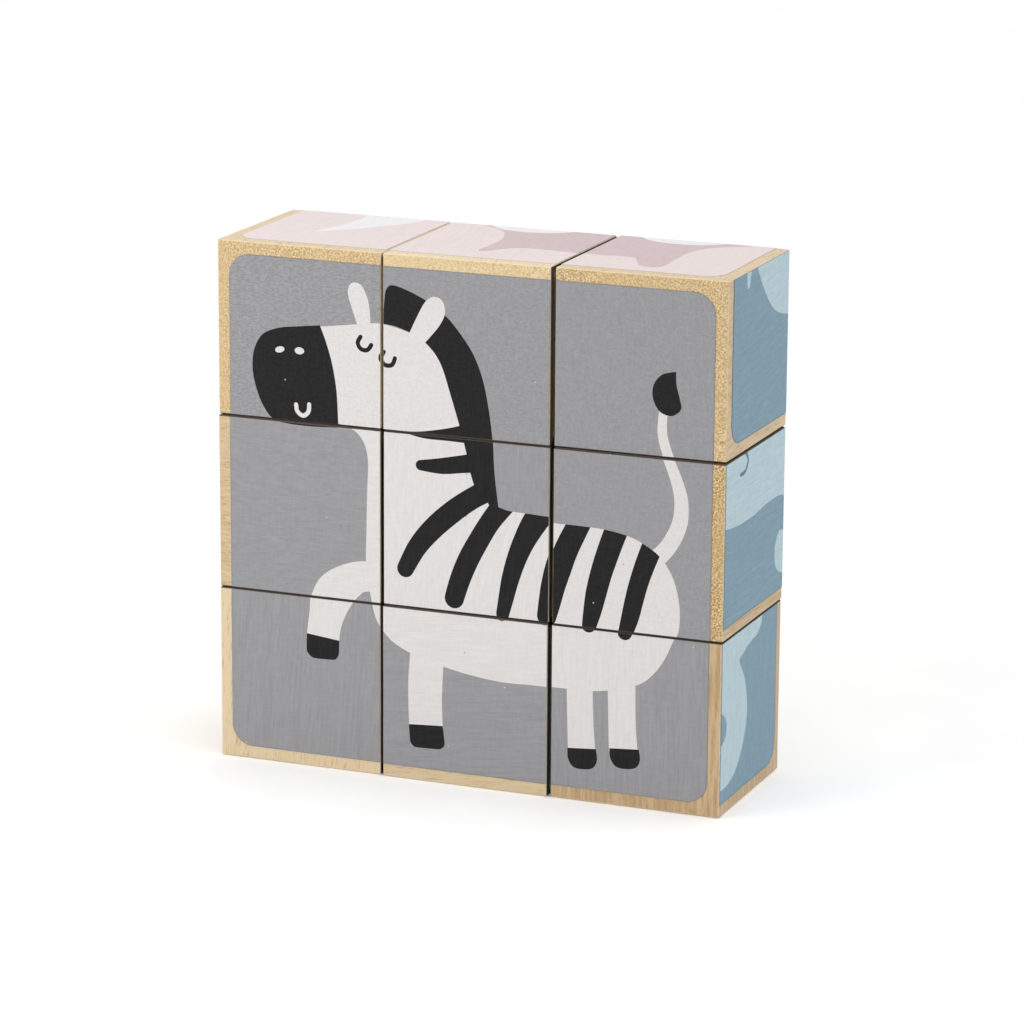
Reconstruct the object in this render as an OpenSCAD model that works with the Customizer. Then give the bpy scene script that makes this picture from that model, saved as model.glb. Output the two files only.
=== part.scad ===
// Picture cube puzzle: nine wooden cubes stacked three by three, with a picture sheet on every face.
// Row frame: X to the right of the front picture, Y away from it, Z up.
// The origin is on the floor, below the middle of the stack.

/* [Cubes] */
// Side of a finished cube, measured over its picture sheets
cube_side = 40; // [30:1:60]
// Radius of the sanded edges of the wood
edge_round = 0.5; // [0.3:0.1:1.5]

/* [Pictures] */
// Thickness of a picture sheet
sheet_t = 0.1; // [0.05:0.05:0.3]
// Bare wood left round the outside of a whole picture
border = 3; // [2:0.5:5]
// Corner radius of a whole picture
picture_corner = 5; // [3:0.5:8]
// Bare wood between a sheet and the cube's edge, where the picture runs on to the next cube
sheet_setback = 0.25; // [0.1:0.05:1]

/* [Stack] */
// Mean gap between two columns of cubes
column_gap = 0.4; // [0.4:0.1:1]

/* [Hidden] */
$fn = 64;
ROWS = ["top", "centre", "bottom"];
COLUMNS = ["left", "middle", "right"];
LAST = 2;
KINDS = ["cube", "front_picture", "back_picture", "upper_picture", "lower_picture", "side_pictures"];

wood_side = cube_side - 2 * sheet_t;
column_pitch = cube_side + column_gap;
edge_trim = sheet_t + sheet_setback;
// How far each cube stands off its own place, by row and column, as hands leave them
NUDGE_X = [[0.1, -0.1, 0.05], [0.05, -0.1, 0.1], [-0.1, -0.2, -0.15]];
NUDGE_Y = [[0.1, -0.1, 0.2], [-0.1, 0.1, -0.2], [0.1, -0.2, 0.1]];

function node_name(kind, row, column) = str(kind, "_", ROWS[row], "_", COLUMNS[column]);

// Moves its children to the middle of the cube at this row and column.
module at_cube(row, column) {
    x = (column - 1) * column_pitch + NUDGE_X[row][column];
    y = NUDGE_Y[row][column];
    z = (LAST - row) * cube_side + cube_side / 2;
    translate([x, y, z]) children();
}

// Square with round corners, centred.
module round_square(side, radius) {
    inner = side - 2 * radius;
    square([side, inner], center = true);
    square([inner, side], center = true);
    for (x = [-1, 1], y = [-1, 1])
        translate([x * inner / 2, y * inner / 2]) circle(radius);
}

module round_bar() {
    linear_extrude(wood_side, center = true) round_square(wood_side, edge_round);
}

// Solid block of wood with its twelve edges and eight corners sanded.
module wood_block() {
    color("burlywood") intersection() {
        round_bar();
        rotate([90, 0, 0]) round_bar();
        rotate([0, 90, 0]) round_bar();
    }
}

// Outline of one ninth of a picture, drawn upright about the middle of its cube face.
// A side on the outside of the picture keeps the border; a side inside it runs to the edge.
module sheet_outline(row, column) {
    half = cube_side / 2;
    left = -half + (column == 0 ? border : edge_trim);
    right = half - (column == LAST ? border : edge_trim);
    low = -half + (row == LAST ? border : edge_trim);
    high = half - (row == 0 ? border : edge_trim);
    is_corner = row != 1 && column != 1;
    difference() {
        translate([left, low]) square([right - left, high - low]);
        if (is_corner)
            translate([column == 0 ? left : right, row == 0 ? high : low])
                mirror([column == 0 ? 0 : 1, 0])
                    mirror([0, row == 0 ? 1 : 0])
                        corner_waste();
    }
}

// What a round corner cuts off a square one whose point is at the origin.
module corner_waste() {
    difference() {
        translate([-1, -1]) square(picture_corner + 1);
        translate([picture_corner, picture_corner]) circle(picture_corner);
    }
}

// One picture sheet lying on the cube face that looks along +Z.
module sheet(row, column) {
    translate([0, 0, wood_side / 2]) linear_extrude(sheet_t) sheet_outline(row, column);
}

// The six faces of a cube. Each holds a ninth of a different picture.
module front_picture(row, column) {
    color("darkgray") rotate([90, 0, 0]) sheet(row, column);
}

module back_picture(row, column) {
    color("darkseagreen") rotate([90, 0, 180]) sheet(row, LAST - column);
}

module upper_picture(row, column) {
    color("mistyrose") sheet(LAST - row, column);
}

module lower_picture(row, column) {
    color("thistle") rotate([180, 0, 0]) sheet(LAST - row, column);
}

module side_pictures(row, column) {
    color("lightsteelblue") rotate([90, 0, 90]) sheet(column, row);
    color("wheat") rotate([90, 0, -90]) sheet(row, LAST - column);
}

for (row = [0:LAST], column = [0:LAST]) {
    at_cube(row, column) wood_block();
    at_cube(row, column) front_picture(row, column);
    at_cube(row, column) back_picture(row, column);
    at_cube(row, column) upper_picture(row, column);
    at_cube(row, column) lower_picture(row, column);
    at_cube(row, column) side_pictures(row, column);
}
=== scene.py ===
import random
from math import cos, pi, radians, sin, sqrt

import bmesh
import bpy
from mathutils import Matrix, Vector, noise
from mathutils.geometry import delaunay_2d_cdt, interpolate_bezier


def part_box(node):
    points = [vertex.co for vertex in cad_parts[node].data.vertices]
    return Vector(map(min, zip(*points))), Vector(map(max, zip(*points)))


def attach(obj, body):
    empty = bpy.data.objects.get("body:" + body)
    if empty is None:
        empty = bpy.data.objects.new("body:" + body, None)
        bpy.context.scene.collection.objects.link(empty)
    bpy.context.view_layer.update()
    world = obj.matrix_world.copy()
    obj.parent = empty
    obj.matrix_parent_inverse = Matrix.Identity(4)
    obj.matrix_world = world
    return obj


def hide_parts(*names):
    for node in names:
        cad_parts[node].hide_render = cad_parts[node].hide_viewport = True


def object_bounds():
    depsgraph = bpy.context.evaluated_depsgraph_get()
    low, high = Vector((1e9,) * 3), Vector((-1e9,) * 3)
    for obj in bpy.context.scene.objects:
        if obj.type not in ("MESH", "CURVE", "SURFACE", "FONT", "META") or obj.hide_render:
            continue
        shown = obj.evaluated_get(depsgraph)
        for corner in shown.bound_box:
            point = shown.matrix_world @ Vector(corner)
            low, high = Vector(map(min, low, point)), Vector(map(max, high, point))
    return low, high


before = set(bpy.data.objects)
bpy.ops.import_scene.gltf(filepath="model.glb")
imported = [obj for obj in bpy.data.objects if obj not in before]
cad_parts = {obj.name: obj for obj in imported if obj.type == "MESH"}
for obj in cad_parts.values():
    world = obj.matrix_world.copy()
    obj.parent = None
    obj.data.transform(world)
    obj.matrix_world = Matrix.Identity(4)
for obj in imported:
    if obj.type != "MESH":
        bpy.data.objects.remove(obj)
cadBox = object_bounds()
print("frame loaded")

# Outlines and grain are worked out in millimetres, everything placed in the scene is in metres.
mm = 0.001

stack = {
    "rows": ("top", "centre", "bottom"),
    "columns": ("left", "middle", "right"),
    "last": 2,
    "pictureCorner": 5.0,  # radius of a whole picture's corners
    "edgeRound": 0.35,     # radius of the sanded wood edges
}


def cellName(row, column):
    return stack["rows"][row] + "_" + stack["columns"][column]


def blockCentre(row, column):
    low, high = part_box("cube_" + cellName(row, column))
    return (low + high) / 2


# The sheet thickness, the bare borders and the cube side are read off the first cube and its front sheet.
woodLow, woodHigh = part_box("cube_top_left")
sheetLow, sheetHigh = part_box("front_picture_top_left")
stack["sheet"] = (sheetHigh.y - sheetLow.y) / mm
stack["wood"] = (woodHigh.x - woodLow.x) / mm
stack["ninth"] = stack["wood"] + 2 * stack["sheet"]
stack["border"] = (sheetLow.x - woodLow.x) / mm + stack["sheet"]
stack["trim"] = (woodHigh.x - sheetHigh.x) / mm + stack["sheet"]
stack["whole"] = 3 * stack["ninth"]


def smoothLine(spots, soft, closed, steps):
    count = len(spots)

    def slope(i):
        before = spots[i - 1] if closed or i > 0 else spots[0]
        after = spots[(i + 1) % count] if closed or i < count - 1 else spots[-1]
        return (after - before) * soft[i] / 6

    line = []
    for i in range(count if closed else count - 1):
        j = (i + 1) % count
        leaving, arriving = spots[i] + slope(i), spots[j] - slope(j)
        line += interpolate_bezier(spots[i], leaving, arriving, spots[j], steps + 1)[:-1]
    return line if closed else line + [spots[-1]]


def curve(points, steps=7):
    # A closed outline through its points. A third value below 1 tightens a point, 0 makes it a corner.
    soft = [p[2] if len(p) > 2 else 1 for p in points]
    return smoothLine([Vector(p[:2]) for p in points], soft, True, steps)


def stroke(points, steps=7, cap=7):
    # A brush stroke with round ends. The third value of each point is its width there.
    widths = smoothLine([Vector(p) for p in points], [1] * len(points), False, steps)
    line = [Vector((p.x, p.y)) for p in widths]
    left, right = [], []
    for i, spot in enumerate(line):
        along = (line[min(i + 1, len(line) - 1)] - line[max(i - 1, 0)]).normalized()
        side = Vector((-along.y, along.x)) * widths[i].z / 2
        left.append(spot + side)
        right.append(spot - side)

    def roundEnd(spot, start):
        return [spot + Matrix.Rotation(-pi * n / cap, 2) @ start for n in range(1, cap)]

    tip = roundEnd(line[-1], left[-1] - line[-1])
    tail = roundEnd(line[0], right[0] - line[0])
    return left + tip + right[::-1] + tail


def disc(x, y, wide, tall=None, turn=0, steps=28):
    tall = wide if tall is None else tall
    spin = Matrix.Rotation(radians(turn), 2)
    return [Vector((x, y)) + spin @ Vector((wide * cos(2 * pi * n / steps), tall * sin(2 * pi * n / steps)))
            for n in range(steps)]


def arc(x, y, radius, start, end, width):
    points = [(x + radius * cos(radians(start + (end - start) * n / 4)),
               y + radius * sin(radians(start + (end - start) * n / 4)), width) for n in range(5)]
    return stroke(points, steps=4, cap=4)


def block(x0, y0, x1, y1, foot=0, top=0, steps=5):
    # A rectangle whose lower corners are rounded by foot and upper ones by top.
    line = []
    corners = ((x0, y0, foot, 180), (x1, y0, foot, 270), (x1, y1, top, 0), (x0, y1, top, 90))
    for x, y, radius, start in corners:
        if not radius:
            line.append(Vector((x, y)))
            continue
        middle = Vector((x + radius * (1 if x == x0 else -1), y + radius * (1 if y == y0 else -1)))
        for n in range(steps + 1):
            angle = radians(start + 90 * n / steps)
            line.append(middle + Vector((cos(angle), sin(angle))) * radius)
    return line


def mirrored(points, about):
    return [(2 * about - p[0], *p[1:]) for p in reversed(points)]


# Each picture lists its shapes from back to front: ink, outline, and the outlines it stays inside.
def zebra():
    body = curve([(64, 65.4), (70.3, 64.6), (75.3, 64.4), (79.8, 64.2, 0), (80.2, 63, 0), (85, 63),
        (91.8, 62.8), (97.5, 61.9), (101.4, 60.4), (105.3, 57.8), (108.3, 53.4), (109.8, 47.6), (109.8, 42),
        (108.4, 38.6), (106.7, 34.8), (104, 31), (100.2, 28.2), (92, 26), (84, 25.6), (76, 25.5),
        (68.4, 25.4), (60.4, 26.3), (52, 28), (46.4, 29.8), (43.2, 31.4), (41.1, 33.1), (39.4, 35.3),
        (38.3, 37.8), (37.2, 42.8), (36.3, 49.6), (43.7, 63.6)])
    neck = curve([(24.5, 102, 0), (31.5, 103), (39.5, 104), (46.7, 102.6, 0), (56.3, 97.6), (63.3, 87.6),
        (66.2, 75.6), (66.7, 65.6), (62, 49.6), (46, 41.6), (37.1, 43.6), (36.3, 49.6), (36.4, 57),
        (36.6, 66), (36.8, 72.2), (36.1, 76.1), (34.3, 78.7), (31.8, 80), (28.7, 80.6, 0), (25.7, 81.6, 0)])
    coat = [body, neck]
    shapes = [
        ("paper", stroke([(100.8, 54.7, 4), (106.2, 59.3, 3.8), (109.4, 65.1, 3.6), (109.9, 70.7, 3.2),
            (108.6, 75.7, 2.7), (106.5, 80.8, 2.4), (105.2, 85.8, 2.2), (105.6, 91.8, 1.9)])),
        ("coal", curve([(108.2, 99.2, 0), (108.3, 96.4), (109.1, 93.4), (109.4, 91), (107.3, 89.4),
            (104.5, 90.2), (102.9, 93.2), (103.2, 96.2), (105.1, 98.4)])),
        ("paper", curve([(47.1, 32, 0), (46.4, 22), (46.7, 12.4, 0), (54.9, 12.8, 0), (54.6, 20),
            (55.2, 32, 0)])),
        ("paper", curve([(83.8, 32, 0), (84, 22), (84.3, 11.4, 0), (90.8, 11.8, 0), (90.2, 20),
            (89.9, 32, 0)])),
        ("paper", curve([(93.4, 32, 0), (93.7, 22), (94, 12.4, 0), (100.8, 12.8, 0), (100.2, 20),
            (100, 32, 0)])),
        ("paper", body),
        ("paper", curve([(43.7, 48.6, 0), (36.2, 49.6), (30.3, 48.1), (25.4, 45), (22.9, 40.5),
            (22.4, 36.4), (21.7, 31, 0), (29.7, 30.3, 0), (30.3, 34), (32.1, 38), (34.5, 41.4),
            (37.2, 42.7), (43.7, 41.6, 0)])),
        ("coal", curve([(21.7, 31.3, 0), (29.7, 30.4, 0), (29.6, 27.2, 0.5), (28.5, 25.8, 0.5),
            (23.3, 25.7, 0.5), (21.7, 27.2, 0.5)])),
        ("coal", curve([(46.6, 13, 0), (54.8, 13.5, 0), (55.3, 9.2, 0.4), (54.1, 8, 0.4), (48.1, 7.8, 0.4),
            (46.9, 9, 0.4)])),
        ("coal", curve([(84.2, 12, 0), (90.9, 12.5, 0), (91.2, 9.8), (89.8, 7.8), (86, 7.6), (84.4, 9.4)])),
        ("coal", curve([(94.1, 13.1, 0), (101, 13.6, 0), (101.3, 11), (99.9, 9.1), (96.1, 8.9),
            (94.4, 10.7)])),
        ("paper", neck),
        ("coal", curve([(25.1, 102.4, 0), (20.5, 101.8), (15.1, 101), (11.1, 99.2), (9, 95.6), (8.6, 91.2),
            (9.4, 87), (11.1, 83), (13.5, 80.2), (17.5, 79.4), (23.5, 79.3), (29.5, 79.6, 0), (29.1, 87.6),
            (28.1, 93.6), (26.7, 98.4)])),
        ("paper", disc(15.3, 96.1, 1.15, 0.7, turn=15)),
        ("paper", disc(20.1, 96.2, 1.15, 0.8)),
        ("paper", stroke([(19.2, 83.9, 1), (19.5, 82.4, 1), (20.9, 81.5, 1), (22.2, 82.5, 1),
            (22.4, 84.2, 1)], steps=4, cap=5)),
    ]
    stripes = [
        [(62.2, 81.3, 5), (56.2, 80.5, 3), (50.2, 79.9, 1.7), (46.5, 80, 0.7)],
        [(64.2, 75, 4.6), (59.2, 74.1, 4), (54.2, 73.2, 3.6), (49.2, 72.9, 2.4)],
        [(66.8, 69.6, 5), (61.6, 66.6, 4.8), (56.9, 63.1, 5), (52.2, 58.8, 4.9), (48.4, 54.2, 4.5),
            (45.5, 48.9, 4)],
        [(69.7, 66.8, 5.2), (66, 61.9, 4.7), (63.1, 57.1, 4.8), (60.6, 52.4, 4.9), (58.7, 47.8, 4.8),
            (57.3, 43.3, 4.6)],
        [(78.8, 66.2, 6), (76.1, 62.2, 5.7), (73.7, 57.7, 5), (71.9, 53.2, 4.5), (70.6, 48.8, 4.1),
            (69.7, 44.7, 3.6), (68.9, 41, 3.1)],
        [(87.8, 66.6, 5.2), (85.6, 62, 5.3), (83.4, 57.4, 5.5), (81.8, 53, 5.6), (80.6, 48.8, 5.2),
            (79.8, 45, 4.7), (79.1, 41.6, 4.1)],
        [(96.5, 66.6, 5.4), (94.6, 61.8, 5.3), (92.9, 57, 5.2), (91.5, 52.5, 5), (90.4, 48, 4.8),
            (89.6, 44, 4.2), (88.9, 40.7, 3.4)],
        [(105.6, 65.6, 5), (103.6, 60.6, 4.8), (101.9, 56.2, 4.6), (100.5, 52, 4.4), (99.4, 47.8, 4.3),
            (98.5, 43.8, 4.1), (97.4, 39.9, 3.4)],
    ]
    shapes += [("coal", stroke(stripe, cap=9), coat) for stripe in stripes]
    shapes += [
        ("coal", curve([(40.1, 104.1, 0), (40.5, 108.6), (41.1, 112), (43.3, 112.8), (49.7, 110.5),
            (55.1, 107.1), (58.7, 103.3), (61.7, 99.1), (63.9, 93.9), (65.3, 87.8), (66.3, 80.8),
            (66.8, 72.8), (67.8, 64.9, 0), (65.8, 64.9, 0), (65.1, 66.2, 0), (61.9, 69.7, 0), (61.1, 72.2),
            (60.2, 76.2), (58.5, 82.8, 0.4), (56.3, 89.7), (54.5, 95.1), (52.7, 98.3), (50.3, 100.7, 0.3),
            (46.6, 102.6, 0.3), (43.3, 103.7)])),
        ("paper", curve([(34.6, 102.1, 0), (33, 106.5), (31.9, 110.3), (32.8, 112.5), (35, 112.3),
            (36.6, 109.5), (37.2, 106.1), (37.4, 102.1, 0)])),
        ("paper", curve([(46.5, 102.4, 0), (48.5, 106.6), (50.5, 110), (52.7, 111.1), (54.6, 110),
            (54.9, 107.2), (53.3, 104.2), (50.3, 100.7, 0), (48.3, 98.6, 0)])),
        ("coal", arc(35.9, 99.3, 1.65, 125, 350, 1)),
        ("coal", arc(41.4, 96.4, 1.7, 125, 365, 1)),
    ]
    return shapes


def fox():
    tail = stroke([(74, 24, 9), (92, 26, 14), (104, 42, 17), (103, 60, 17), (94, 78, 16), (96.4, 90, 9),
        (100.6, 98.6, 3.6), (103.4, 102.8, 0.8)], cap=5)
    cheek = [(72, 79), (66, 84), (58.6, 85), (52, 82.4), (47, 75), (44, 64), (43, 58, 0.3), (53, 56.4),
        (65, 64), (77, 75, 0.2)]
    shapes = [
        ("rose", tail),
        ("snow", curve([(80, 76, 0), (86, 80, 0), (91, 75, 0), (97, 80, 0), (103, 76, 0), (112, 84, 0),
            (112, 110, 0), (88, 110, 0)]), [tail]),
        ("rose", curve([(32, 58), (54, 60), (74, 52), (86, 38), (86, 20), (76, 10.6), (52, 10), (36, 16),
            (30, 36)])),
        ("snow", curve([(36, 56), (52, 56), (54, 38), (46, 26), (38, 32), (33, 46)])),
        *[(ink, block(x, 8, x + 9, top, foot=3)) for ink, top in (("rose", 40), ("plum", 17)) for x in (36, 50)],
        ("plum", curve([(70, 16, 0), (84, 16, 0), (90, 12), (86, 8), (72, 8), (66, 11)])),
        ("rose", curve([(60.4, 109.8), (57, 105.6), (54, 103), (47, 102.8), (38, 103.8), (28.6, 103.4),
            (26, 107), (23.6, 111.4), (20.6, 112.4), (18.6, 110.4), (18.8, 102), (18.6, 93), (15.6, 86),
            (6, 79), (7, 75, 0.3), (19, 64), (32, 56.4), (41, 54), (52, 56.4), (64, 63), (78, 75, 0.3),
            (74, 79), (65.4, 86), (61.8, 95), (61.6, 103), (61.8, 108.4)])),
        ("snow", curve(cheek)),
        ("snow", curve(mirrored(cheek, 42.4))),
        ("plum", disc(42.4, 57.4, 4, 3)),
        ("plum", arc(28, 76.6, 2.4, 190, 350, 1)),
        ("plum", arc(56, 76.6, 2.4, 190, 350, 1)),
    ]
    return shapes


def elephant():
    shapes = [
        ("ice", stroke([(100, 52, 3), (107, 46, 2.6), (109, 36, 2.2)])),
        ("ocean", stroke([(109, 36, 3), (109.4, 32, 4), (108.6, 29, 2.4)])),
        ("ice", curve([(52, 102), (70, 101), (88, 96), (101, 84), (106, 66), (104, 46), (96, 34), (70, 30),
            (48, 32), (40, 50), (38, 80)])),
        ("ice", block(36.8, 13.5, 56, 30, foot=2.4)),
        ("ice", block(82, 10, 99, 44, foot=4)),
        ("sky", block(60, 10, 75, 34, foot=4)),
        ("ice", curve([(56, 106), (46, 105), (39, 101.4), (31, 94), (27.4, 88), (25.6, 81), (24.5, 72),
            (24.3, 62), (25, 52), (25, 44), (23.6, 39), (21.8, 36.8), (19.8, 36.2), (17.6, 37.2),
            (16.4, 40), (16.6, 43.4), (13.6, 46), (9.8, 45.8), (7.2, 43), (6.2, 38), (7.6, 31),
            (12.6, 25.4), (20, 22.5), (27.6, 24.4), (31.6, 27.4), (33.2, 28.4, 0.5), (34.4, 25),
            (35.6, 20.4), (36.9, 15.6), (44, 16), (56, 36), (66, 60), (70, 84)])),
        ("ice", stroke([(44, 104, 3), (40, 107, 2.8), (36.8, 107.6, 1.6)])),
        ("ice", stroke([(48, 104, 3), (46.6, 109, 2.4), (45, 111.6, 1.2)])),
        ("haze", curve([(60, 96), (72, 95), (81, 86), (83, 72), (76, 60), (64, 55), (56, 62), (54, 76),
            (55, 88)])),
        ("ocean", stroke([(35.5, 70.3, 0.9), (35.7, 67.3, 0.9), (37.8, 65.5, 0.9), (39.9, 67.3, 0.9),
            (40.1, 70.3, 0.9)], steps=4, cap=4)),
    ]
    for x, y in ((43, 15), (47.6, 15), (52.2, 15), (85.6, 11.6), (90.6, 11.6), (95.6, 11.6)):
        shapes.append(("snow", disc(x, y, 1.7, 1.5)))
    return shapes


def tortoise():
    shell = curve([(24, 44, 0.3), (27, 62), (38, 80), (56, 88), (74, 84), (90, 70), (98, 52),
        (100, 44, 0.3)])
    plates = [(42, 56, 8, 7), (60, 58, 8.6, 7.6), (79, 57, 8, 7), (51, 73, 7.4, 6.4), (69, 73, 7.4, 6.4),
        (33, 46, 5, 5), (92, 48, 5, 5)]
    shapes = [
        ("cream", stroke([(92, 46, 10), (102, 52, 11), (106, 62, 12)])),
        ("cream", stroke([(28, 42, 6), (20, 40, 4), (14, 36, 1.6)])),
        *[("cream", block(x, 22, x + 12, 46, foot=4)) for x in (32, 80)],
        *[("moss", block(x, 24, x + 10, 46, foot=4)) for x in (50, 64)],
        ("fern", shell),
    ]
    shapes += [("moss", disc(*plate, steps=6), [shell]) for plate in plates]
    shapes += [
        ("cream", block(22, 38, 102, 45, foot=3.4, top=3.4)),
        ("pine", arc(106, 65, 1.8, 190, 350, 0.9)),
        ("pine", arc(108, 58, 2.6, 250, 340, 0.8)),
        ("pine", disc(37, 24, 1.4)),
        ("pine", disc(86, 24, 1.4)),
    ]
    return shapes


def giraffe():
    body = curve([(36, 50), (44, 60), (62, 58), (84, 54), (98, 46), (99, 34), (90, 29), (64, 28), (44, 32),
        (36, 40)])
    neck = stroke([(50, 42, 17), (44, 62, 14), (38, 80, 12), (34, 96, 11)])
    spots = [(46, 84, 3.4, 2.8), (35, 78, 3, 3.6), (42, 68, 4, 3.4), (50, 57, 3.6, 4), (42, 52, 3.4, 3),
        (60, 49, 4.6, 4), (72, 51, 4, 3.4), (84, 47, 4.6, 3.8), (52, 40, 4, 3.4), (66, 38, 4.4, 3.6),
        (79, 37, 4.2, 3.8), (92, 39, 4, 4), (38, 92, 2.6, 2.6)]
    shapes = [
        ("clay", stroke([(97, 44, 2.4), (103, 36, 2), (104, 26, 1.8)])),
        ("umber", stroke([(104, 27, 2.6), (104.4, 23, 3.6), (103.6, 20, 1.8)])),
        *[("clay", block(x, 9, x + 6, 36, foot=2)) for x in (52, 80)],
        *[("butter", block(x, 9, x + 7, 40, foot=2)) for x in (40, 90)],
        ("butter", body),
        ("butter", neck),
    ]
    shapes += [("clay", disc(x, y, wide, tall, turn=17 * x, steps=7), [body, neck]) for x, y, wide,
        tall in spots]
    shapes += [
        ("umber", stroke([(34, 104, 2), (34.6, 109, 1.8)])),
        ("umber", stroke([(29, 104, 2), (28.6, 109, 1.8)])),
        ("umber", disc(34.8, 110.6, 1.7)),
        ("umber", disc(28.4, 110.6, 1.7)),
        ("butter", stroke([(37, 102, 3), (43, 104, 4), (47, 103, 1.6)])),
        ("butter", curve([(40, 100), (36, 105.4), (29, 105.6), (22, 101.4), (13, 97.6), (10.4, 93),
            (14, 89.6), (24, 90), (34, 91.4), (39, 95)])),
        ("clay", curve([(15, 98.4, 0.4), (10.4, 95), (10.4, 91.4), (14, 89.2), (18, 89.6, 0.4), (17, 94)])),
        ("umber", arc(28, 99.4, 1.9, 190, 350, 0.9)),
        ("umber", disc(12.8, 95, 0.7)),
        *[("umber", block(x, 8, x + wide, 12, foot=2)) for x, wide in ((40, 7), (90, 7), (52, 6), (80, 6))],
    ]
    return shapes


def whale():
    body = curve([(12, 50), (13, 64), (24, 76), (44, 80), (66, 76), (84, 64), (94, 62, 0.4), (94, 54),
        (84, 40), (66, 30), (40, 27), (20, 34)])
    shapes = [
        ("slate", curve([(88, 56, 0), (97, 66), (94, 80), (101, 90, 0.3), (105, 80), (107, 77, 0.4),
            (113, 84, 0.4), (112, 72), (106, 64), (98, 54)])),
        ("slate", body),
        ("pearl", curve([(8, 46), (30, 46), (50, 42), (70, 34), (70, 20), (10, 20)]), [body]),
        ("lavender", stroke([(18, 40.6, 0.8), (34, 40.2, 0.8), (52, 36.4, 0.8)]), [body]),
        ("lavender", stroke([(22, 36.4, 0.8), (36, 36, 0.8), (54, 32, 0.8)]), [body]),
        ("ink", curve([(50, 46, 0.3), (60, 42), (70, 30), (66, 26), (58, 30), (50, 38)])),
        ("paper", arc(30, 55, 2.2, 190, 350, 1)),
        ("pearl", stroke([(40, 80, 2), (40, 92, 2.2), (46, 99, 2.4), (53, 97, 2)])),
        ("pearl", stroke([(40, 88, 2), (38, 96, 2.2), (31, 100, 2.4), (25, 96, 2)])),
        ("pearl", disc(58, 92, 1.6)),
        ("pearl", disc(21, 90, 1.4)),
    ]
    return shapes


def paint(red, green, blue):
    # Screen colour, 0 to 255, as the shader wants it.
    return tuple(((v / 255 + 0.055) / 1.055) ** 2.4 for v in (red, green, blue)) + (1,)


inks = {
    # name: (face colour, how much the wood's grain darkens it)
    "stone": (paint(154, 153, 155), 0.1),
    "coal": (paint(27, 26, 27), 0.55),
    "paper": (paint(224, 220, 218), 0.05),
    "blush": (paint(232, 219, 218), 0.04),
    "rose": (paint(211, 191, 193), 0.06),
    "plum": (paint(122, 92, 104), 0.08),
    "sky": (paint(127, 156, 172), 0.14),
    "ice": (paint(183, 205, 213), 0.1),
    "haze": (paint(160, 185, 197), 0.1),
    "ocean": (paint(92, 122, 140), 0.14),
    "sage": (paint(170, 184, 164), 0.05),
    "fern": (paint(112, 138, 112), 0.08),
    "moss": (paint(139, 163, 134), 0.06),
    "pine": (paint(70, 92, 76), 0.12),
    "cream": (paint(229, 224, 204), 0.03),
    "sand": (paint(222, 203, 163), 0.04),
    "butter": (paint(241, 225, 188), 0.03),
    "clay": (paint(192, 143, 104), 0.06),
    "umber": (paint(104, 76, 60), 0.12),
    "lilac": (paint(204, 197, 215), 0.04),
    "lavender": (paint(168, 161, 188), 0.05),
    "slate": (paint(126, 128, 158), 0.07),
    "pearl": (paint(226, 224, 231), 0.03),
    "snow": (paint(238, 236, 238), 0.03),
    "ink": (paint(86, 88, 118), 0.1),
}

# The rim is how bright the thin line round a picture is beside its ground.
pictures = {
    "zebra": {"ground": "stone", "rim": 0.85, "shapes": zebra()},
    "fox": {"ground": "blush", "rim": 0.85, "shapes": fox()},
    "elephant": {"ground": "sky", "rim": 0.6, "shapes": elephant()},
    "tortoise": {"ground": "sage", "rim": 0.75, "shapes": tortoise()},
    "giraffe": {"ground": "sand", "rim": 0.8, "shapes": giraffe()},
    "whale": {"ground": "lilac", "rim": 0.8, "shapes": whale()},
}
print("pictures drawn")


def newGroup(name, inputs, outputs):
    group = bpy.data.node_groups.new(name, "ShaderNodeTree")
    for label, kind, start in inputs:
        socket = group.interface.new_socket(name=label, in_out="INPUT", socket_type=kind)
        if start is not None:
            socket.default_value = start
    for label, kind in outputs:
        group.interface.new_socket(name=label, in_out="OUTPUT", socket_type=kind)
    return group, group.nodes.new("NodeGroupInput"), group.nodes.new("NodeGroupOutput")


def addNode(tree, kind, sockets=None, **settings):
    made = tree.nodes.new(kind)
    for key, value in settings.items():
        setattr(made, key, value)
    for key, value in (sockets or {}).items():
        if isinstance(value, bpy.types.NodeSocket):
            tree.links.new(value, made.inputs[key])
        else:
            made.inputs[key].default_value = value
    return made


def mathNode(tree, operation, first, second=0.5, third=0.0, clamp=False):
    return addNode(tree, "ShaderNodeMath", {0: first, 1: second, 2: third}, operation=operation,
                   use_clamp=clamp).outputs[0]


def stretched(tree, place, x, y, z):
    return addNode(tree, "ShaderNodeVectorMath", {0: place, 1: (x, y, z)}, operation="MULTIPLY").outputs[0]


def noiseNode(tree, place, scale, detail=2.0, roughness=0.5):
    return addNode(tree, "ShaderNodeTexNoise", {"Vector": place, "Scale": scale, "Detail": detail,
                                                "Roughness": roughness}).outputs[0]


def ramp(tree, value, low, high, bottom=0.0, top=1.0):
    return addNode(tree, "ShaderNodeMapRange", {"Value": value, "From Min": low, "From Max": high,
                                                "To Min": bottom, "To Max": top},
                   interpolation_type="SMOOTHSTEP").outputs[0]


def mixColour(tree, factor, first, second, blend="MIX"):
    return addNode(tree, "ShaderNodeMix", {0: factor, 6: first, 7: second}, data_type="RGBA",
                   blend_type=blend, clamp_factor=True).outputs[2]


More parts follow.
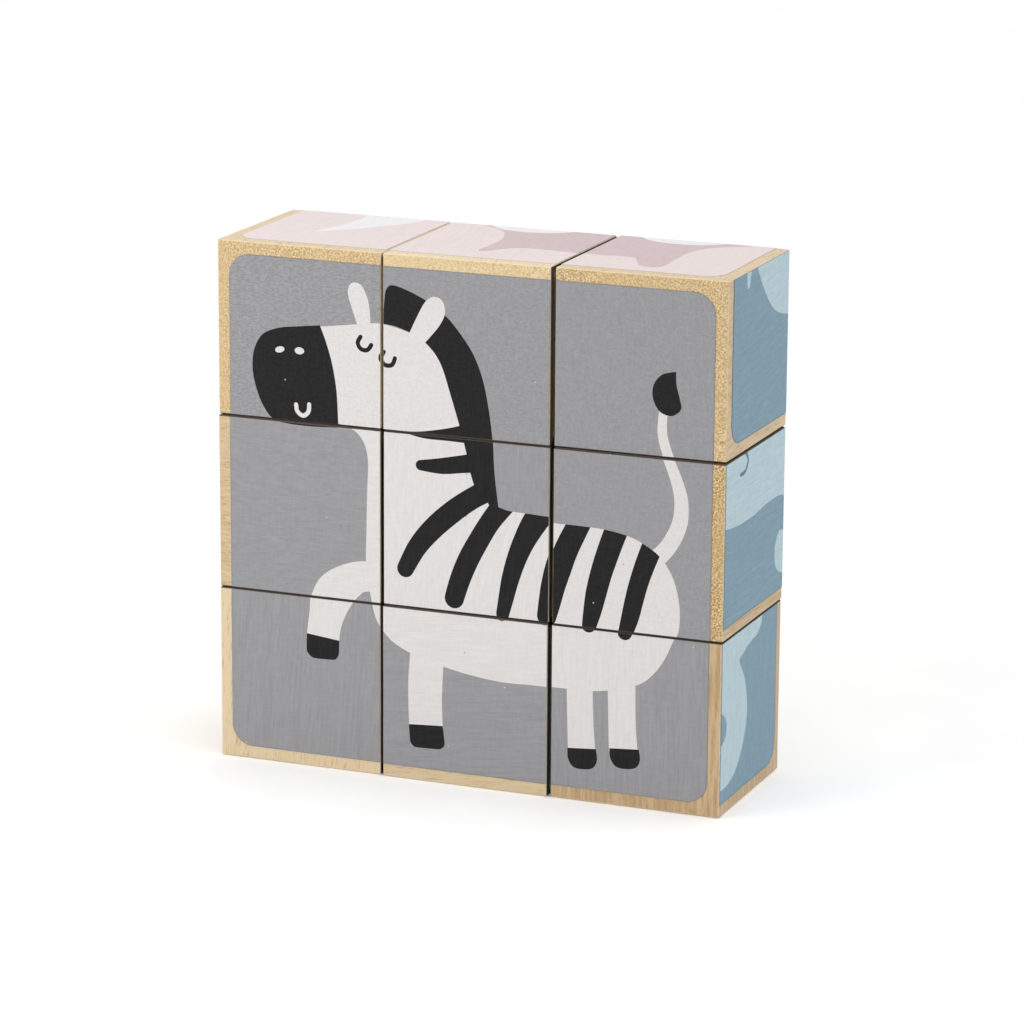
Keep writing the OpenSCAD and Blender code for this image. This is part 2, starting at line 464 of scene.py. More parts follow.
def buildTimber():
    # Grain runs along the third axis of Place, in millimetres. Its end shows dots, its sides show dashes.
    tree, enter, leave = newGroup(
        "timber",
        [("Place", "NodeSocketVector", None), ("Fibre Size", "NodeSocketFloat", 1.5),
         ("Pore Size", "NodeSocketFloat", 2.6)],
        [("Fibre", "NodeSocketFloat"), ("Rings", "NodeSocketFloat"), ("Pores", "NodeSocketFloat"),
         ("Height", "NodeSocketFloat")])
    place = enter.outputs["Place"]
    fibre = noiseNode(tree, stretched(tree, place, 1, 1, 0.06), enter.outputs["Fibre Size"], 5.0, 0.62)
    drift = noiseNode(tree, stretched(tree, place, 1, 1, 0.1), 0.06, 2.0)
    pith = addNode(tree, "ShaderNodeVectorMath", {0: stretched(tree, place, 1, 1, 0.02), 1: (34, -21, 0)},
                   operation="ADD").outputs[0]
    distance = addNode(tree, "ShaderNodeVectorMath", {0: pith}, operation="LENGTH").outputs["Value"]
    phase = mathNode(tree, "MULTIPLY_ADD", drift, 16.0, mathNode(tree, "MULTIPLY", distance, 2.1))
    wave = mathNode(tree, "MULTIPLY_ADD", mathNode(tree, "SINE", phase), 0.5, 0.5)
    rings = mathNode(tree, "POWER", wave, 2.2)
    poreNoise = noiseNode(tree, stretched(tree, place, 1, 1, 0.11), enter.outputs["Pore Size"], 2.5, 0.6)
    pores = ramp(tree, poreNoise, 0.56, 0.68)
    height = mathNode(tree, "MULTIPLY_ADD", pores, -0.8, fibre)
    for label, value in (("Fibre", fibre), ("Rings", rings), ("Pores", pores), ("Height", height)):
        tree.links.new(value, leave.inputs[label])
    return tree


def buildWeave():
    # The fine cross-hatched texture of the print, and the few dust specks caught in it.
    tree, enter, leave = newGroup(
        "printWeave",
        [("Print", "NodeSocketVector", None), ("Threads", "NodeSocketFloat", 2.2)],
        [("Weave", "NodeSocketFloat"), ("Dimples", "NodeSocketFloat"), ("Pale Specks", "NodeSocketFloat"),
         ("Dark Specks", "NodeSocketFloat")])
    flat, threads = enter.outputs["Print"], enter.outputs["Threads"]
    weft = noiseNode(tree, stretched(tree, flat, 0.14, 1, 1), threads, 3.0, 0.7)
    warp = noiseNode(tree, stretched(tree, flat, 1, 0.14, 1), threads, 3.0, 0.7)
    weave = mathNode(tree, "MULTIPLY", mathNode(tree, "ADD", weft, warp), 0.5)
    dimples = ramp(tree, noiseNode(tree, stretched(tree, flat, 0.45, 1.3, 1), 1.9, 2.0, 0.6), 0.36, 0.64)
    cells = addNode(tree, "ShaderNodeTexVoronoi", {"Vector": flat, "Scale": 0.3, "Randomness": 1.0})
    picked = addNode(tree, "ShaderNodeSeparateColor", {0: cells.outputs["Color"]})
    dot = ramp(tree, cells.outputs["Distance"], 0.035, 0.075, 1.0, 0.0)
    pale = mathNode(tree, "MULTIPLY", dot, mathNode(tree, "GREATER_THAN", picked.outputs[0], 0.86))
    dark = mathNode(tree, "MULTIPLY", dot, mathNode(tree, "LESS_THAN", picked.outputs[0], 0.09))
    made = {"Weave": weave, "Dimples": dimples, "Pale Specks": pale, "Dark Specks": dark}
    for label, value in made.items():
        tree.links.new(value, leave.inputs[label])
    return tree


def buildGapShade():
    # Place is a point of a cube face in mm from its middle, and third how dark the painted shade is where a
    # neighbour meets it.
    tree, enter, leave = newGroup(
        "gapShadeEdge",
        [("Place", "NodeSocketVector", None), ("Start", "NodeSocketFloat", 18.5),
         ("End", "NodeSocketFloat", 19.2)],
        [("Gap Shade", "NodeSocketFloat")])
    parts = addNode(tree, "ShaderNodeSeparateXYZ", {0: enter.outputs["Place"]})
    across = mathNode(tree, "ABSOLUTE", parts.outputs[0])
    along = mathNode(tree, "ABSOLUTE", parts.outputs[1])
    edge = ramp(tree, mathNode(tree, "MAXIMUM", across, along), enter.outputs["Start"], enter.outputs["End"])
    tree.links.new(mathNode(tree, "MULTIPLY", edge, parts.outputs[2]), leave.inputs["Gap Shade"])
    return tree


timberGroup, weaveGroup, gapShadeGroup = buildTimber(), buildWeave(), buildGapShade()


def readPlace(tree, name):
    return addNode(tree, "ShaderNodeAttribute", attribute_name=name)


def newMaterial(name):
    made = bpy.data.materials.new(name)
    made.use_nodes = True
    tree = made.node_tree
    return made, tree, tree.nodes["Principled BSDF"]


def addBump(tree, shader, height, strength, distance):
    bump = addNode(tree, "ShaderNodeBump", {"Height": height, "Strength": strength, "Distance": distance})
    tree.links.new(bump.outputs[0], shader.inputs["Normal"])


def woodMaterial(name, look):
    made, tree, shader = newMaterial(name)
    place = readPlace(tree, "grainPlace").outputs["Vector"]
    grain = addNode(tree, "ShaderNodeGroup", node_tree=timberGroup)
    tree.links.new(place, grain.inputs["Place"])
    grain.inputs["Fibre Size"].default_value = look["fibreSize"]
    grain.inputs["Pore Size"].default_value = look["poreSize"]
    tone = ramp(tree, grain.outputs["Fibre"], *look["contrast"])
    colour = mixColour(tree, tone, look["pale"], look["warm"])
    ringed = mathNode(tree, "MULTIPLY", grain.outputs["Rings"], look["ringDepth"])
    colour = mixColour(tree, ringed, colour, look["ring"])
    cloud = ramp(tree, noiseNode(tree, place, 0.05, 2.0), 0.35, 0.65)
    colour = mixColour(tree, mathNode(tree, "MULTIPLY", cloud, 0.35), colour, look["cloud"])
    # The paler wood mixes each cube's own paleness with painted light on top of the stack and painted shade in
    # the right column.
    colour = mixColour(tree, readPlace(tree, "paleAndLit").outputs["Fac"], colour, look["paleAndLitWood"])
    pored = mathNode(tree, "MULTIPLY", grain.outputs["Pores"], look["poreDepth"])
    colour = mixColour(tree, pored, colour, look["pore"])
    sanded = readPlace(tree, "sanded").outputs["Fac"]
    broken = mathNode(tree, "MULTIPLY_ADD", noiseNode(tree, place, 0.8, 3.0), 0.9, -0.2)
    bare = mathNode(tree, "MULTIPLY", sanded, mathNode(tree, "ADD", broken, 0.2), clamp=True)
    colour = mixColour(tree, bare, colour, look["bare"])
    # Painted shade: the wood turns dark brown where a cube meets a neighbour, standing in for the shadow in the
    # seam; the same mask also raises the roughness there.
    paintedSeamShade = mathNode(tree, "MULTIPLY", readPlace(tree, "paintedSeamShade").outputs["Fac"], 0.96)
    colour = mixColour(tree, paintedSeamShade, colour, look["paintedSeamShade"])
    tree.links.new(colour, shader.inputs["Base Color"])
    rough = mathNode(tree, "MULTIPLY_ADD", grain.outputs["Pores"], 0.2, look["roughness"])
    rough = mathNode(tree, "MULTIPLY_ADD", paintedSeamShade, 0.5, rough)
    tree.links.new(rough, shader.inputs["Roughness"])
    shader.inputs["Specular IOR Level"].default_value = 0.5
    addBump(tree, shader, grain.outputs["Height"], look["bump"], 0.00006)
    return made


def inkMaterial(name, colour, grainDepth, look):
    made, tree, shader = newMaterial(name)
    place = readPlace(tree, "grainPlace").outputs["Vector"]
    flat = readPlace(tree, "printPlace").outputs["Vector"]
    grain = addNode(tree, "ShaderNodeGroup", node_tree=timberGroup)
    tree.links.new(place, grain.inputs["Place"])
    grain.inputs["Pore Size"].default_value = look["poreSize"]
    weave = addNode(tree, "ShaderNodeGroup", node_tree=weaveGroup)
    tree.links.new(flat, weave.inputs["Print"])
    weave.inputs["Threads"].default_value = look["threads"]
    streaks = mathNode(tree, "MULTIPLY_ADD", grain.outputs["Fibre"], look["fibreShare"],
                       mathNode(tree, "MULTIPLY", weave.outputs["Weave"], 1 - look["fibreShare"]))
    shade = ramp(tree, streaks, 0.34, 0.66)
    deep = tuple(v * (1 - grainDepth) for v in colour[:3]) + (1,)
    lifted = tuple(v * (1 + grainDepth) for v in colour[:3]) + (1,)
    tint = mixColour(tree, shade, deep, lifted)
    dimpleShade = min(look["dimpleShade"], 10 * grainDepth ** 2)  # pale inks stay smooth
    # Painted shade and light: the dimples of end grain pressed through the print are shaded light and dark in
    # the colour, as a bump lit from above would be.
    dimpleShading = mixColour(tree, weave.outputs["Dimples"], (1 - dimpleShade,) * 3 + (1,), (1 + dimpleShade,) * 3 + (1,))
    tint = mixColour(tree, readPlace(tree, "embossShading").outputs["Fac"], tint, dimpleShading, "MULTIPLY")
    for label, share, speck in (("Pale Specks", 0.7, "paleSpeck"), ("Dark Specks", 0.6, "darkSpeck")):
        tint = mixColour(tree, mathNode(tree, "MULTIPLY", weave.outputs[label], share), tint, look[speck])
    # Painted shade: the print darkens towards an edge that meets a neighbour, where the gap between the cubes is
    # in shadow.
    gapShade = addNode(tree, "ShaderNodeGroup", node_tree=gapShadeGroup)
    tree.links.new(readPlace(tree, "facePlace").outputs["Vector"], gapShade.inputs["Place"])
    gapShade.inputs["Start"].default_value, gapShade.inputs["End"].default_value = look["seamShadeSpan"]
    tint = mixColour(tree, gapShade.outputs[0], tint, look["seamShadow"], "MULTIPLY")
    tree.links.new(tint, shader.inputs["Base Color"])
    rough = mathNode(tree, "MULTIPLY_ADD", shade, 0.14, look["roughness"])
    tree.links.new(rough, shader.inputs["Roughness"])
    shader.inputs["Specular IOR Level"].default_value = look["specular"]
    addBump(tree, shader, mathNode(tree, "MULTIPLY_ADD", grain.outputs["Pores"], -0.35, streaks),
            look["bump"], look["depth"])
    return made


wood = {
    "long": {"pale": paint(207, 181, 138), "warm": paint(181, 150, 104), "ring": paint(180, 146, 104),
             "cloud": paint(204, 172, 138), "pore": paint(150, 114, 78), "paleAndLitWood": paint(237, 217, 180),
             "bare": paint(240, 226, 202), "paintedSeamShade": paint(34, 23, 17), "contrast": (0.36, 0.64),
             "ringDepth": 0.35, "poreDepth": 0.4, "fibreSize": 1.5, "poreSize": 2.4,
             "roughness": 0.42, "bump": 0.35},
    "end": {"pale": paint(232, 206, 156), "warm": paint(168, 130, 76), "ring": paint(178, 144, 94),
            "cloud": paint(206, 172, 122), "pore": paint(146, 110, 66), "paleAndLitWood": paint(240, 218, 172),
            "bare": paint(238, 222, 190), "paintedSeamShade": paint(34, 23, 16), "contrast": (0.43, 0.57),
            "ringDepth": 0.25, "poreDepth": 0.3, "fibreSize": 2.3, "poreSize": 1.6,
            "roughness": 0.5, "bump": 1.0},
}
printing = {"threads": 1.7, "poreSize": 2.2, "fibreShare": 0.45, "roughness": 0.5, "bump": 0.5,
            "specular": 0.2, "depth": 0.00025, "dimpleShade": 0.12,
            "paleSpeck": paint(222, 214, 200), "darkSpeck": paint(96, 88, 84),
            # where painted shade darkens the print towards the edge of a face that meets a neighbour, mm from
            # its middle
            "seamShadeSpan": (18.2, 19.0), "seamShadow": (0.06, 0.045, 0.035, 1)}

woodMaterials = [woodMaterial("sandedWood_" + name, look) for name, look in wood.items()]
inkMaterials = {}


def inkFor(name, rimShade=None):
    key = name + ("Rim" if rimShade else "")
    if key not in inkMaterials:
        colour, depth = inks[name]
        if rimShade:
            colour = tuple(v * rimShade for v in colour[:3]) + (1,)
        inkMaterials[key] = inkMaterial("print_" + key, colour, depth, printing)
    return inkMaterials[key]


print("materials ready")

blocks = {
    "segments": 4,
    "loops": 9,        # cuts along each side, which let a sanded edge waver
    "waver": 0.09,     # most that sanding takes off an edge unevenly, mm
    "knock": 0.22,     # most that a corner has been knocked back, mm
    # how far round an edge towards a neighbour the wood is darkened with painted seam shade, sideways and up or
    # down
    "seamShadeSpan": {0: (0.4, 0.8), 2: (0.12, 0.4)},
    "shadeStrip": {0: 1.9, 2: 1.3},  # width of the painted shade strip beside such an edge, mm
    # how dark the painted seam shade on the wood is between two neighbours in a row, and between one cube and
    # the cube it lies on
    "seamDarkness": ((0.6, 1), (1, 1), (1, 1)),
    "levels": 0.93,
    "unshadedTop": (0, 0),  # row and left column of the pair whose top edges get no painted seam shade
    # which way the grain runs in each cube and how pale its wood is, by row and column; the lower values in the
    # right column are painted shade, darker away from the light on the left
    "grain": (("Y", "Y", "Y"), ("X", "Z", "Y"), ("Z", "X", "Z")),
    "paleAndLit": ((0.25, 0.6, 0.2), (0.3, 0.3, 0.0), (0.7, 0.5, 0.0)),
    "topLight": 0.5,     # painted light: how much paler the wood on top of the stack is
}
turnGrain = {
    "X": Matrix(((0, 1, 0), (0, 0, 1), (1, 0, 0))),
    "Y": Matrix(((0, 0, 1), (1, 0, 0), (0, 1, 0))),
    "Z": Matrix.Identity(3),
}


def grainOf(row, column):
    # How a point in the cube, in metres from its middle, becomes a place in its own piece of timber, in mm.
    draw = random.Random(11 + 3 * row + column)
    away = Vector((draw.uniform(-60, 60), draw.uniform(-60, 60), draw.uniform(-400, 400)))
    tilt = Matrix.Rotation(radians(draw.uniform(-12, 12)), 3, "X")
    tilt = tilt @ Matrix.Rotation(draw.uniform(0, 6), 3, "Z")
    turn = tilt @ turnGrain[blocks["grain"][row][column]]
    return turn, away


def writePlace(mesh, name, values):
    attribute = mesh.attributes.new(name, "FLOAT_VECTOR", "POINT")
    attribute.data.foreach_set("vector", [v for place in values for v in place])


def writeValues(mesh, name, values):
    mesh.attributes.new(name, "FLOAT", "POINT").data.foreach_set("value", values)


def writeGrain(mesh, centre, row, column):
    turn, away = grainOf(row, column)
    writePlace(mesh, "grainPlace", [turn @ ((v.co - centre) / mm) + away for v in mesh.vertices])


def finishPiece(mesh, name, body, node):
    piece = bpy.data.objects.new(name, mesh)
    bpy.context.scene.collection.objects.link(piece)
    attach(piece, body)
    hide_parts(node)
    return piece


def roundness(place, half, radius):
    # How far along each axis a point lies in the rounded rim, from 0 to 1, with its sign.
    return Vector([max(0.0, abs(c) - (half - radius)) / radius * (1 if c > 0 else -1) for c in place])


def seamShadeDepth(row, column, axis, sign):
    # How dark the painted seam shade is where a cube meets its neighbour that way, or nothing if there is none.
    if axis == 0 and 0 <= column + sign <= stack["last"]:
        return blocks["seamDarkness"][row][min(column, column + sign)]
    return blocks["levels"] if axis == 2 and 0 <= row - sign <= stack["last"] else 0


def seamShadow(place, lean, row, column):
    # Painted shade: the edges that meet a neighbour are darkened brown, and so is a narrow strip beside them in
    # a gap, where the seam's shadow falls.
    most = 0.0
    for axis in (0, 2):
        sign = 1 if lean[axis] > 0 else -1
        inward = min(stack["wood"] / 2 - abs(place[n]) for n in range(3) if n != axis)
        shadeStrip = blocks["shadeStrip"][axis]
        start, end = blocks["seamShadeSpan"][axis]
        turned = (abs(lean[axis]) - start) / (end - start)
        near = (shadeStrip - inward) / (shadeStrip * 0.4)
        unshaded = blocks["unshadedTop"] == (row, min(column, column + sign)) and axis == 0 and lean.z > 0
        tone = 0 if unshaded else seamShadeDepth(row, column, axis, sign)
        most = max(most, tone * max(0.0, min(1.0, turned, near)))
    return most


def makeBlock(row, column):
    name = cellName(row, column)
    centre = blockCentre(row, column)
    half, radius = stack["wood"] / 2, stack["edgeRound"]
    bm = bmesh.new()
    bmesh.ops.create_cube(bm, size=stack["wood"])
    bmesh.ops.bevel(bm, geom=bm.edges[:], affect="EDGES", offset=radius, segments=blocks["segments"],
                    profile=0.5, material=-1)
    cuts = [((n + 1) / (blocks["loops"] + 1) - 0.5) * stack["wood"] for n in range(blocks["loops"])]
    for shadeStrip in blocks["shadeStrip"].values():
        cuts += [shadeStrip - half, half - shadeStrip]
    for axis in range(3):
        normal = Vector([1.0 if n == axis else 0.0 for n in range(3)])
        for cut in cuts:
            bmesh.ops.bisect_plane(bm, geom=bm.verts[:] + bm.edges[:] + bm.faces[:], plane_co=normal * cut,
                                   plane_no=normal)
    draw = random.Random(70 + 3 * row + column)
    knocks = {}
    normals, sanded, paintedSeamShade, paleAndLit = [], [], [], []
    for vert in bm.verts:
        lean = roundness(vert.co, half, radius)
        x, y, z = (abs(v) for v in lean)
        rim = max(x * y, y * z, z * x) * 2
        corner = x * y * z * 5.2
        outward = lean.normalized() if lean.length else Vector((0, 0, 1))
        key = tuple(v > 0 for v in lean)
        if corner > 0.01 and key not in knocks:
            knocks[key] = draw.random() ** 2 * blocks["knock"]
        wobble = 0.5 + 0.5 * noise.noise(vert.co * 0.22 + Vector((row * 31, column * 17, 5)))
        gapShade = seamShadow(vert.co, lean, row, column)
        cut = rim * (1 - min(corner, 1)) * wobble * blocks["waver"] + corner * knocks.get(key, 0)
        vert.co -= outward * cut
        normals.append(outward)
        sanded.append(min(1.0, rim))
        paintedSeamShade.append(gapShade)
        # Painted light: the top of the top row is paler, where the light falls on it.
        topLight = blocks["topLight"] * max(0, lean.z) if row == 0 else 0
        paleAndLit.append(blocks["paleAndLit"][row][column] + topLight)
    grainAxis = "XYZ".index(blocks["grain"][row][column])
    for face in bm.faces:
        face.smooth = True
        facing = [abs(v) for v in face.normal]
        face.material_index = 1 if facing[grainAxis] > 0.8 else 0
    bmesh.ops.scale(bm, vec=(mm, mm, mm), verts=bm.verts[:])
    bmesh.ops.translate(bm, vec=centre, verts=bm.verts[:])
    mesh = bpy.data.meshes.new("block_" + name)
    bm.to_mesh(mesh)
    bm.free()
    for material in woodMaterials:
        mesh.materials.append(material)
    writeGrain(mesh, centre, row, column)
    for label, values in (("sanded", sanded), ("paleAndLit", paleAndLit), ("paintedSeamShade", paintedSeamShade)):
        writeValues(mesh, label, values)
    mesh.normals_split_custom_set_from_vertices(normals)
    return finishPiece(mesh, "woodBlock_" + name, "block_" + name, "cube_" + name)


sheets = {
    "rimBand": 0.2,    # width of the darker line round a whole picture, mm
    "lipSteps": 2,     # bends in the lip that follows a sanded edge
    "cornerSteps": 10,
    # how strongly the painted shading of the end grain pressed through the print shows, by row and column
    "embossShading": ((1.0, 0.55, 0.25), (0, 0, 0), (0, 0, 0)),
}


def sheetSides(row, column):
    # Where one ninth of a picture ends, in mm from the middle of its cube face: left, right, low, high.
    half, border, trim = stack["ninth"] / 2, stack["border"], stack["trim"]
    return (-half + (border if column == 0 else trim), half - (border if column == stack["last"] else trim),
            -half + (border if row == stack["last"] else trim), half - (border if row == 0 else trim))


def cutCorner(outline, row, column, inset):
    # Rounds the one corner of this ninth that is a corner of the whole picture.
    if row == 1 or column == 1:
        return outline
    radius = stack["pictureCorner"] - inset
    index = {(2, 0): 0, (2, 2): 1, (0, 2): 2, (0, 0): 3}[(row, column)]
    corner = outline[index]
    middle = corner + Vector((radius if column == 0 else -radius, radius if row == 2 else -radius))
    start = (180, 270, 0, 90)[index]
    steps = sheets["cornerSteps"]
    angles = [radians(start + 90 * n / steps) for n in range(steps + 1)]
    bend = [middle + Vector((cos(angle), sin(angle))) * radius for angle in angles]
    return outline[:index] + bend + outline[index + 1:]


def sheetOutline(row, column, inset):
    # The inset is taken only from the sides that lie on the outside of the whole picture.
    left, right, low, high = sheetSides(row, column)
    left += inset if column == 0 else 0
    right -= inset if column == stack["last"] else 0
    low += inset if row == stack["last"] else 0
    high -= inset if row == 0 else 0
    corners = [Vector((left, low)), Vector((right, low)), Vector((right, high)), Vector((left, high))]
    return cutCorner(corners, row, column, inset)


def overlaps(outline, half):
    xs, ys = [p.x for p in outline], [p.y for p in outline]
    return min(xs) < half and max(xs) > -half and min(ys) < half and max(ys) > -half


def leftTurning(outline):
    # The triangulation takes the inside of an outline to be on its left.
    area = sum(outline[i - 1].x * p.y - outline[i - 1].y * p.x for i, p in enumerate(outline))
    return outline if area > 0 else outline[::-1]


def cutPicture(picture, row, column):
    # Divides a ninth of a picture into the areas of its inks. No bmesh operator cuts a flat face along
    # crossing curves, so the library's triangulation does, and its result goes straight into a bmesh.
    ninth = stack["ninth"]
    window = Vector(((column + 0.5) * ninth, (stack["last"] - row + 0.5) * ninth))
    layers = [(None, sheetOutline(row, column, 0), None),
              (picture["ground"], sheetOutline(row, column, sheets["rimBand"]), None)]
    limits = []
    for ink, outline, *within in picture["shapes"]:
        held = []
        for limit in within[0] if within else []:
            if limit not in limits:
                limits.append(limit)
            held.append(limits.index(limit))
        layers.append((ink, [p - window for p in outline], held or None))
    layers = [layer for layer in layers if overlaps(layer[1], ninth / 2)]
    outlines = [layer[1] for layer in layers] + [[p - window for p in limit] for limit in limits]
    points, loops = [], []
    for outline in map(leftTurning, outlines):
        loops.append(list(range(len(points), len(points) + len(outline))))
        points += outline
    verts, _, faces, _, _, origins = delaunay_2d_cdt(points, [], loops, 1, 1e-5)
    bm = bmesh.new()
    made = [bm.verts.new((v.x, v.y, 0)) for v in verts]
    names = []
    for face, origin in zip(faces, origins):
        if 0 not in origin:
            continue
        chosen = 0
        for n in sorted(i for i in origin if i < len(layers)):
            held = layers[n][2]
            if held is None or any(len(layers) + limit in origin for limit in held):
                chosen = n
        ink = layers[chosen][0]
        # Outside the ground's outline is the darker rim, whatever else reaches it.
        key = (picture["ground"], True) if ink is None or 1 not in origin else (ink, False)
        if key not in names:
            names.append(key)
        bm.faces.new([made[i] for i in face]).material_index = names.index(key)
    bmesh.ops.delete(bm, geom=[v for v in bm.verts if not v.link_faces], context="VERTS")
    return bm, names


def bendLip(bm, row, column):
    # Towards a neighbouring cube the sheet follows the wood over the start of its rounded edge.
    radius = stack["edgeRound"]
    start = stack["wood"] / 2 - radius
    reach = stack["ninth"] / 2 - stack["trim"] - start
    inside = ((-1, 0, column > 0), (1, 0, column < 2), (0, -1, row < 2), (0, 1, row > 0))
    for x, y, meets in inside:
        if not meets:
            continue
        for n in range(sheets["lipSteps"]):
            cut = Vector((x, y, 0)) * (start + reach * n / sheets["lipSteps"])
            bmesh.ops.bisect_plane(bm, geom=bm.verts[:] + bm.edges[:] + bm.faces[:], plane_co=cut,
                                   plane_no=Vector((x, y, 0)))
    for vert in bm.verts:
        over = max(0.0, abs(vert.co.x) - start, abs(vert.co.y) - start)
        vert.co.z = sqrt(radius ** 2 - min(over, radius) ** 2) - radius


def sheetMesh(name, picture, row, column, turn, toFace, meets):
    bm, names = cutPicture(picture, row, column)
    bendLip(bm, row, column)
    rim = (picture["ground"], True)
    if rim not in names:
        names.append(rim)
    top = bm.faces[:]
    lower = bmesh.ops.extrude_face_region(bm, geom=top, use_keep_orig=True)["geom"]
    under = [g for g in lower if isinstance(g, bmesh.types.BMVert)]
    bmesh.ops.translate(bm, vec=(0, 0, -stack["sheet"]), verts=under)
    topSet = set(top)
    for face in bm.faces:
        if face not in topSet:
            face.material_index = names.index(rim)
    bmesh.ops.recalc_face_normals(bm, faces=bm.faces[:])
    bmesh.ops.triangulate(bm, faces=bm.faces[:])
    ninth = stack["ninth"]
    window = Vector(((column + 0.5) * ninth, (stack["last"] - row + 0.5) * ninth, 0))
    bm.verts.index_update()
    prints = [v.co + window for v in bm.verts]
    # The third value of each spot carries how dark the painted seam shade is on this side.
    spots = [Vector((v.co.x, v.co.y, meets)) for v in bm.verts]
    lift = Matrix.Translation((0, 0, ninth / 2))
    bmesh.ops.transform(bm, matrix=toFace @ Matrix.Scale(mm, 4) @ lift @ Matrix.Rotation(turn, 4, "Z"),
                        verts=bm.verts[:])
    mesh = bpy.data.meshes.new(name)
    bm.to_mesh(mesh)
    bm.free()
    for ink, isRim in names:
        mesh.materials.append(inkFor(ink, picture["rim"] if isRim else None))
    writePlace(mesh, "printPlace", prints)
    writePlace(mesh, "facePlace", spots)
    return mesh


def facing(right, up):
    # Takes a sheet drawn upright in X and Y to the cube face that has these right and up directions.
    right, up = Vector(right), Vector(up)
    return Matrix((right, up, right.cross(up))).transposed().to_4x4()


# Each side of the cubes: its picture, the CAD nodes it stands for, which way it faces, how far the picture
# is turned on it, and which ninth each cube carries.
faces = {
    "frontPrint": ("zebra", "front_picture", "front_print", facing((1, 0, 0), (0, 0, 1)), 0,
                   lambda r, c: (r, c)),
    "upperPrint": ("fox", "upper_picture", "upper_print", facing((1, 0, 0), (0, 1, 0)), pi,
                   lambda r, c: (r, 2 - c)),
    "rightPrint": ("elephant", "side_pictures", "side_print", facing((0, 1, 0), (0, 0, 1)), pi / 2,
                   lambda r, c: (r, 2 - c)),
    "backPrint": ("tortoise", "back_picture", "back_print", facing((-1, 0, 0), (0, 0, 1)), 0,
                  lambda r, c: (r, 2 - c)),
    "leftPrint": ("giraffe", "side_pictures", "side_print", facing((0, -1, 0), (0, 0, 1)), 0,
                  lambda r, c: (r, 2 - c)),
    "lowerPrint": ("whale", "lower_picture", "lower_print", facing((1, 0, 0), (0, -1, 0)), 0,
                   lambda r, c: (2 - r, c)),
}


def makeSheet(side, row, column):
    pictureName, node, slotName, toFace, turn, ninthOf = faces[side]
    name = cellName(row, column)
    centre = blockCentre(row, column)
    # How dark the painted seam shade is on this side, if it faces a neighbour.
    meets = 0
    for axis in (0, 2):
        sign = round(toFace[axis][2])
        if sign:
            meets = seamShadeDepth(row, column, axis, sign)
    mesh = sheetMesh(side + "_" + name, pictures[pictureName], *ninthOf(row, column), turn,
                     Matrix.Translation(centre) @ toFace, meets)
    writeGrain(mesh, centre, row, column)
    writeValues(mesh, "embossShading", [sheets["embossShading"][row][column]] * len(mesh.vertices))
    return finishPiece(mesh, side + "_" + name, "block_" + name, node + "_" + name)


for row in range(3):
    for column in range(3):
        makeBlock(row, column)
        for side in faces:
            makeSheet(side, row, column)
print("blocks and sheets made")

studio = {
    "azimuth": 22.0, "elevation": 14.23, "distance": 0.999, "roll": 0.34,
    "lens": 156.5, "sensor": 36.0,
    "aim": (0.00285, 0.0, -0.0010),  # from the middle of the object
    "floor": 4.0,      # radius, m
    "sky": 0.55,       # how strongly the backdrop lights the object
    "floorGlow": 0.14,
}


def makeCamera():
    middle = (cadBox[0] + cadBox[1]) / 2
    target = middle + Vector(studio["aim"])
    turn, rise = radians(studio["azimuth"]), radians(studio["elevation"])
    back = Vector((sin(turn) * cos(rise), -cos(turn) * cos(rise), sin(rise)))
    camera = bpy.data.objects.new("camera", bpy.data.cameras.new("camera"))
    camera.data.lens = studio["lens"]
    camera.data.sensor_width = studio["sensor"]
    camera.data.clip_start = 0.01
    look = (-back).to_track_quat("-Z", "Y").to_matrix().to_4x4()
    camera.matrix_world = (Matrix.Translation(target + back * studio["distance"]) @ look
                           @ Matrix.Rotation(radians(studio["roll"]), 4, "Z"))
    bpy.context.scene.collection.objects.link(camera)
    bpy.context.scene.camera = camera


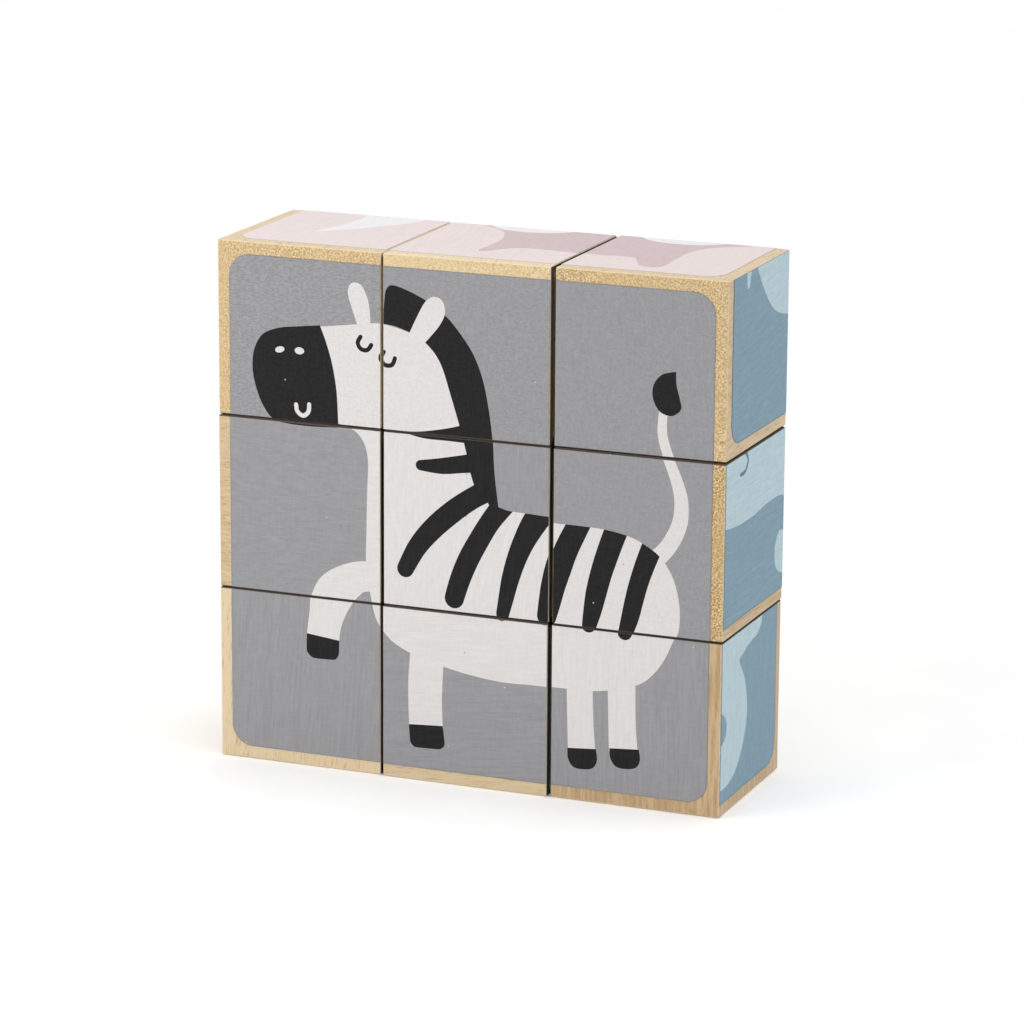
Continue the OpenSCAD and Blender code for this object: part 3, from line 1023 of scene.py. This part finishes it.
def makeFloor():
    made, tree, shader = newMaterial("paleFloor")
    place = addNode(tree, "ShaderNodeTexCoord").outputs["Object"]
    mottle = ramp(tree, noiseNode(tree, place, 30.0, 3.0), 0.3, 0.7)
    white = mixColour(tree, mottle, paint(243, 243, 243), paint(246, 246, 246))
    tree.links.new(white, shader.inputs["Base Color"])
    shader.inputs["Emission Color"].default_value = (1, 1, 1, 1)
    shader.inputs["Emission Strength"].default_value = studio["floorGlow"]
    shader.inputs["Roughness"].default_value = 0.7
    shader.inputs["Specular IOR Level"].default_value = 0.2
    bm = bmesh.new()
    bmesh.ops.create_circle(bm, cap_ends=True, segments=96, radius=studio["floor"])
    mesh = bpy.data.meshes.new("floor")
    bm.to_mesh(mesh)
    bm.free()
    mesh.materials.append(made)
    floor = bpy.data.objects.new("floor", mesh)
    bpy.context.scene.collection.objects.link(floor)


def makeSun(name, where, strength, spread):
    lamp = bpy.data.lights.new(name, "SUN")
    lamp.energy = strength
    lamp.angle = radians(spread)
    made = bpy.data.objects.new(name, lamp)
    made.matrix_world = (-Vector(where)).to_track_quat("-Z", "Y").to_matrix().to_4x4()
    bpy.context.scene.collection.objects.link(made)


def makeLight(name, where, size, power):
    lamp = bpy.data.lights.new(name, "AREA")
    lamp.shape = "RECTANGLE"
    lamp.size, lamp.size_y = size
    lamp.energy = power
    made = bpy.data.objects.new(name, lamp)
    aim = Vector((0, 0, 0.06)) - Vector(where)
    made.matrix_world = Matrix.Translation(where) @ aim.to_track_quat("-Z", "Y").to_matrix().to_4x4()
    bpy.context.scene.collection.objects.link(made)


def makeSky():
    # The backdrop looks white, and lights the object more softly than that.
    world = bpy.data.worlds.new("studio")
    world.use_nodes = True
    tree = world.node_tree
    tree.nodes.clear()
    seen = addNode(tree, "ShaderNodeLightPath").outputs["Is Camera Ray"]
    soft = addNode(tree, "ShaderNodeBackground", {"Color": (1, 1, 1, 1), "Strength": studio["sky"]})
    white = addNode(tree, "ShaderNodeBackground", {"Color": (1, 1, 1, 1), "Strength": 1.0})
    mix = addNode(tree, "ShaderNodeMixShader", {0: seen, 1: soft.outputs[0], 2: white.outputs[0]})
    out = addNode(tree, "ShaderNodeOutputWorld")
    tree.links.new(mix.outputs[0], out.inputs["Surface"])
    bpy.context.scene.world = world


makeCamera()
makeFloor()
makeSky()
makeSun("overheadLight", (0.35, 0.0, 1.4), strength=1.35, spread=60)
makeLight("keyLight", (-0.25, -0.3, 0.3), size=(0.25, 0.25), power=0.5)
bpy.context.scene.view_settings.view_transform = "Standard"
print("studio lit")
